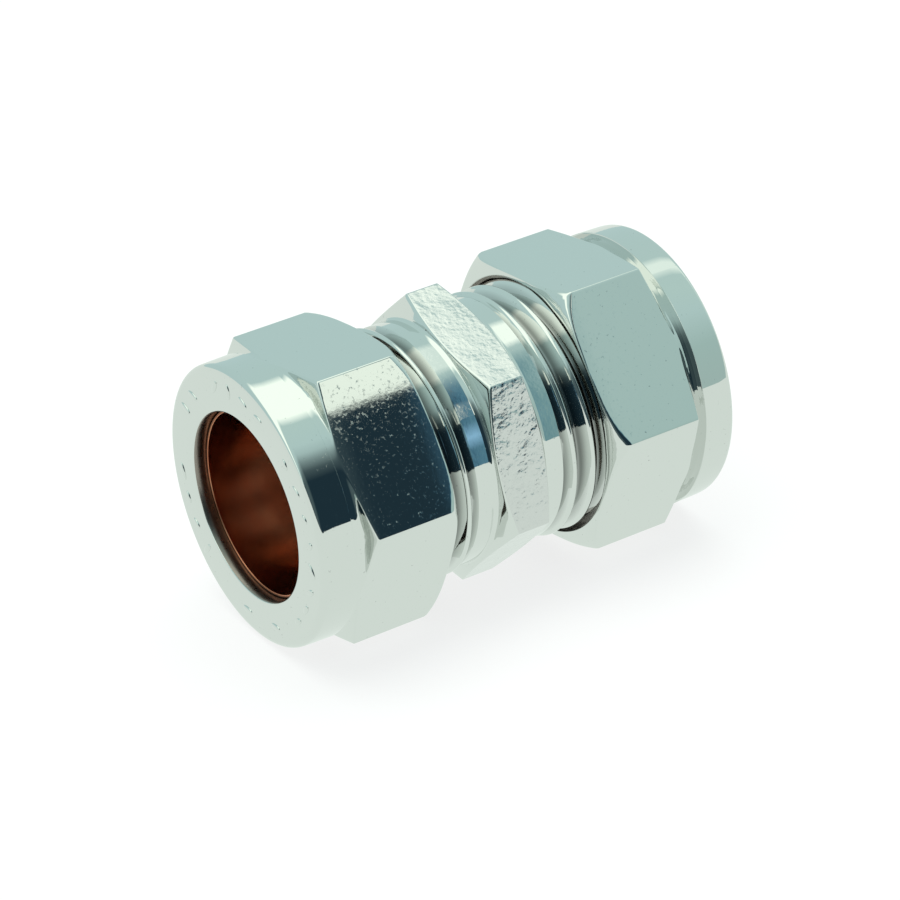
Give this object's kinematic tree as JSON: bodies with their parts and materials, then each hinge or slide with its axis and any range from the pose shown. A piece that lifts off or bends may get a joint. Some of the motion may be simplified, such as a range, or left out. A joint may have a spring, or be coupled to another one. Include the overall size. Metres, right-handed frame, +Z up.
{
  "type": "compression straight connector",
  "caption": "Straight compression connector for 15 mm copper pipe: chrome-plated hexagon body, threaded at both ends, with compression nuts that press copper olives onto the pipes.",
  "frame": {"origin": "middle of the body, on the axis of the pipe", "axes": "+X along the pipe towards the right end, +Z up from the surface that the coupler lies on, +Y level and away from the camera"},
  "size_m": [0.0392, 0.0258, 0.0238],
  "materials": {
    "body": "bright chrome plate over machined and forged brass",
    "nut": "bright chrome plate over brass",
    "olive": "plain copper, satin from turning"
  },
  "bodies": {
    "body": {"body": "body"},
    "olive_left": {"olive_left": "olive"},
    "nut_left": {"nut_left": "nut"},
    "olive_right": {"olive_right": "olive"},
    "nut_right": {"nut_right": "nut"}
  },
  "joints": [
    {"name": "olive_left_slide", "type": "slide", "parent": "body", "child": "olive_left", "axis": [-1, 0, 0], "range_m": [-0.00091, 0.00545]},
    {"name": "nut_left_turn", "type": "hinge", "parent": "olive_left", "child": "nut_left", "pos_m": [-0.013, 0, 0], "axis": [-1, 0, 0], "range_deg": [-180, 1080]},
    {"name": "olive_right_slide", "type": "slide", "parent": "body", "child": "olive_right", "axis": [1, 0, 0], "range_m": [-0.00153, 0.00483]},
    {"name": "nut_right_turn", "type": "hinge", "parent": "olive_right", "child": "nut_right", "pos_m": [0.0137, 0, 0], "axis": [1, 0, 0], "range_deg": [-302.4, 957.6]}
  ],
  "couplings": [
    {"joint": "olive_left_slide", "follows": "nut_left_turn", "m_per_rad": 0.00028871},
    {"joint": "olive_right_slide", "follows": "nut_right_turn", "m_per_rad": 0.00028871}
  ]
}
